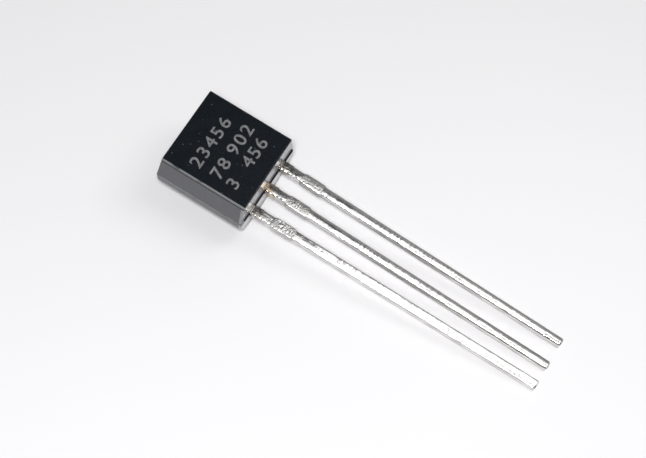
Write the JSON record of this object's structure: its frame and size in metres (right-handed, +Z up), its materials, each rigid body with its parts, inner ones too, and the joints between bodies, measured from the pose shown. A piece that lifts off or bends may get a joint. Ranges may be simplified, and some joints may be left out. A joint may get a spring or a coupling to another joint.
{
  "type": "triac",
  "caption": "Small moulded three-lead power switch for alternating current, with a D-shaped epoxy case, a flat marked face and straight tinned leads for soldering into a board.",
  "frame": {"origin": "centre of the bounding box's bottom, on the surface that the package lies on", "axes": "+X across the row of leads from the A1 lead to the A2 lead, +Y from the lead tips to the closed end of the case, +Z up out of the marked face, which tips 4.8 degrees towards the leads"},
  "size_m": [0.0044, 0.0188, 0.0039],
  "materials": {
    "moulding_compound": "black epoxy moulding compound, satin, finely mottled",
    "tinned_copper": "bright tin plating over stamped copper, dull and crinkled where the dam bar was cut",
    "solder": "soft solder, dull grey",
    "silicon": "polished silicon, dark grey",
    "bond_wire_metal": "drawn aluminium wire, bright"
  },
  "bodies": {
    "root": {"case": "moulding_compound", "lead_a1": "tinned_copper", "lead_gate": "tinned_copper", "lead_a2": "tinned_copper", "die_solder": "solder", "die": "silicon", "wire_a1": "bond_wire_metal", "wire_gate": "bond_wire_metal"}
  },
  "joints": []
}
